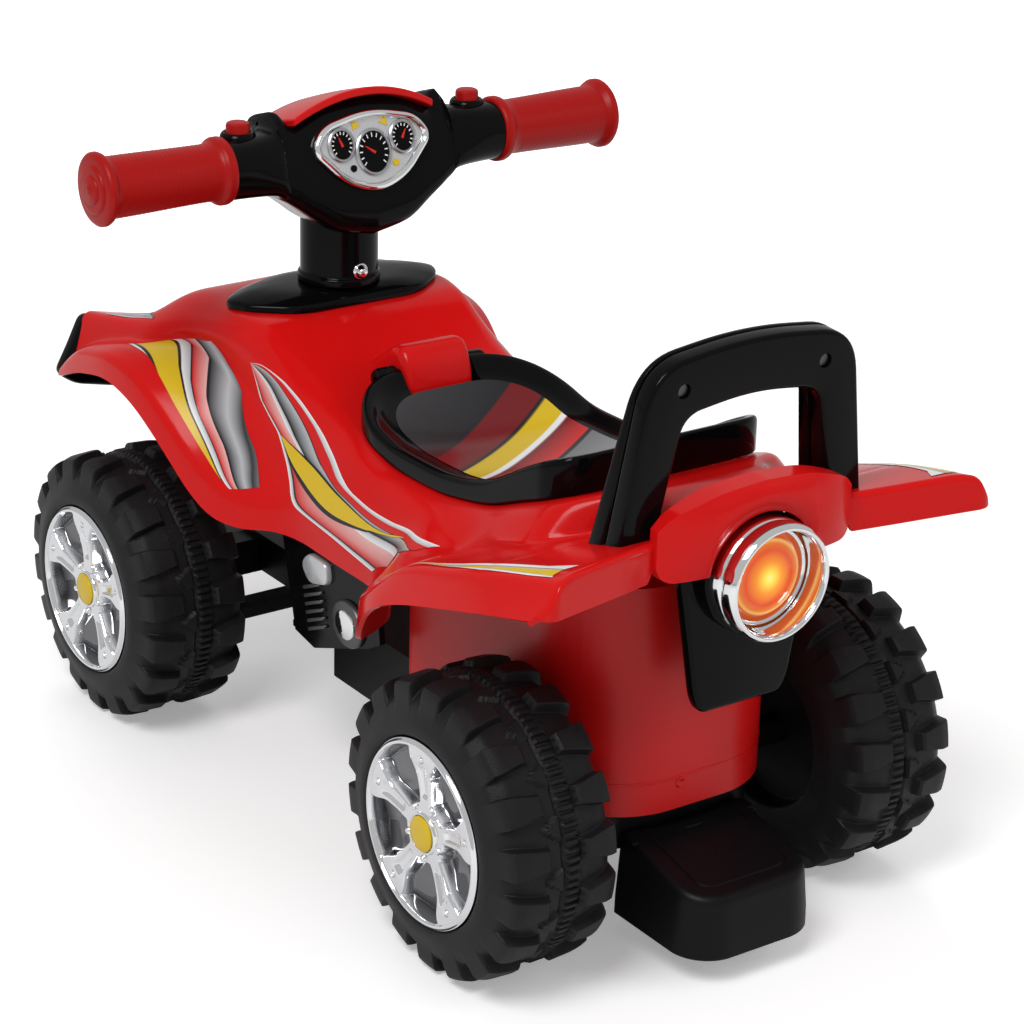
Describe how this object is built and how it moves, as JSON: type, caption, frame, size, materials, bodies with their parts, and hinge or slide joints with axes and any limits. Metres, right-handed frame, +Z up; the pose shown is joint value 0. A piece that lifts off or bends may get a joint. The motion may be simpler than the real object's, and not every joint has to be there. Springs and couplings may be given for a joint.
{
  "type": "kids quad bike",
  "caption": "Foot-to-floor kids quad bike with steered front wheels, a hinged seat over a storage tub, a rear carry handle and sprung sound buttons on the handlebar.",
  "frame": {"origin": "on the ground, in the middle of the bounding box seen from above", "axes": "+Y is forward, +X is the rider's right, +Z is up"},
  "size_m": [0.38, 0.612, 0.4263],
  "materials": {
    "red_plastic": "gloss moulded",
    "red_soft_plastic": "satin moulded",
    "black_plastic": "gloss moulded",
    "black_matte_plastic": "fine grain",
    "tyre_plastic": "fine grain, blow moulded",
    "chrome_plate": "bright plated plastic",
    "zinc_steel": "zinc plated",
    "amber_lens": "clear tinted",
    "dial_plate": "printed sheet",
    "board_green": "solder mask",
    "speaker_steel": "pressed",
    "cell_wrap": "shrink wrap"
  },
  "bodies": {
    "frame": {"body_shell": "red_plastic", "storage_tub": "red_plastic", "chassis": "black_matte_plastic", "rear_step": "black_matte_plastic", "front_fascia": "black_plastic", "engine_panel_left": "black_plastic", "engine_panel_right": "black_plastic", "column_bezel": "black_plastic", "hinge_block": "red_plastic", "seat_hinge_pin": "zinc_steel", "handle_front_half": "black_plastic", "handle_rear_half": "black_plastic", "handle_screws": "zinc_steel", "tail_lamp_bracket": "black_plastic", "tail_lamp_ring": "chrome_plate", "tail_lamp_lens": "amber_lens", "body_screws": "zinc_steel", "front_axle_beam": "black_matte_plastic", "kingpins": "zinc_steel", "rear_axle": "zinc_steel", "rear_spacers": "black_matte_plastic", "rear_retainers": "zinc_steel", "column_bush": "black_matte_plastic"},
    "handlebar": {"steering_rod": "zinc_steel", "steering_neck": "black_plastic", "neck_bolt": "zinc_steel", "bar_rear_cover": "black_plastic", "bar_front_cover": "black_plastic", "cowl_trim": "red_plastic", "gauge_bezel": "chrome_plate", "gauge_face": "dial_plate", "left_grip": "red_soft_plastic", "right_grip": "red_soft_plastic", "left_button_spring": "zinc_steel", "right_button_spring": "zinc_steel", "sound_board": "board_green", "speaker": "speaker_steel", "batteries": "cell_wrap", "battery_door": "black_plastic", "cover_screws": "zinc_steel"},
    "seat_lid": {"seat": "black_plastic"},
    "tie": {"tie_rod": "black_matte_plastic"},
    "left_upright": {"left_knuckle": "black_matte_plastic", "left_stub_axle": "zinc_steel", "front_left_retainer": "zinc_steel"},
    "left_push": {"left_button": "red_soft_plastic"},
    "front_left_wheel": {"front_left_tyre": "tyre_plastic", "front_left_cap": "chrome_plate"},
    "rear_left_wheel": {"rear_left_tyre": "tyre_plastic", "rear_left_cap": "chrome_plate"},
    "right_upright": {"right_knuckle": "black_matte_plastic", "right_stub_axle": "zinc_steel", "front_right_retainer": "zinc_steel"},
    "right_push": {"right_button": "red_soft_plastic"},
    "front_right_wheel": {"front_right_tyre": "tyre_plastic", "front_right_cap": "chrome_plate"},
    "rear_right_wheel": {"rear_right_tyre": "tyre_plastic", "rear_right_cap": "chrome_plate"}
  },
  "joints": [
    {"name": "column_turn", "type": "hinge", "parent": "frame", "child": "handlebar", "pos_m": [0, 0.144, 0.2], "axis": [0, 0, 1], "range_deg": [-25, 25]},
    {"name": "tie_slide", "type": "slide", "parent": "frame", "child": "tie", "axis": [1, 0, 0], "range_m": [-0.0121, 0.0121]},
    {"name": "left_kingpin_turn", "type": "hinge", "parent": "frame", "child": "left_upright", "pos_m": [-0.068, 0.2, 0.088], "axis": [0, 0, 1], "range_deg": [-25.5, 25.5]},
    {"name": "front_left_spin", "type": "hinge", "parent": "left_upright", "child": "front_left_wheel", "pos_m": [-0.12, 0.2, 0.088], "axis": [1, 0, 0], "continuous": true},
    {"name": "rear_left_spin", "type": "hinge", "parent": "frame", "child": "rear_left_wheel", "pos_m": [-0.12, -0.2, 0.088], "axis": [1, 0, 0], "continuous": true},
    {"name": "left_button_press", "type": "slide", "parent": "handlebar", "child": "left_push", "axis": [0, 0, -1], "range_m": [0, 0.003], "stiffness_N_per_m": 250, "springref_m": -0.001, "deforming": ["left_button_spring"]},
    {"name": "right_kingpin_turn", "type": "hinge", "parent": "frame", "child": "right_upright", "pos_m": [0.068, 0.2, 0.088], "axis": [0, 0, 1], "range_deg": [-25.5, 25.5]},
    {"name": "front_right_spin", "type": "hinge", "parent": "right_upright", "child": "front_right_wheel", "pos_m": [0.12, 0.2, 0.088], "axis": [1, 0, 0], "continuous": true},
    {"name": "rear_right_spin", "type": "hinge", "parent": "frame", "child": "rear_right_wheel", "pos_m": [0.12, -0.2, 0.088], "axis": [1, 0, 0], "continuous": true},
    {"name": "right_button_press", "type": "slide", "parent": "handlebar", "child": "right_push", "axis": [0, 0, -1], "range_m": [0, 0.003], "stiffness_N_per_m": 250, "springref_m": -0.001, "deforming": ["right_button_spring"]},
    {"name": "seat_hinge", "type": "hinge", "parent": "frame", "child": "seat_lid", "pos_m": [0, 0.038, 0.25897], "axis": [-1, 0, 0], "range_deg": [0, 60]}
  ],
  "couplings": [
    {"joint": "tie_slide", "follows": "column_turn", "m_per_rad": 0.0271},
    {"joint": "left_kingpin_turn", "follows": "column_turn", "ratio": 1},
    {"joint": "right_kingpin_turn", "follows": "column_turn", "ratio": 1}
  ]
}
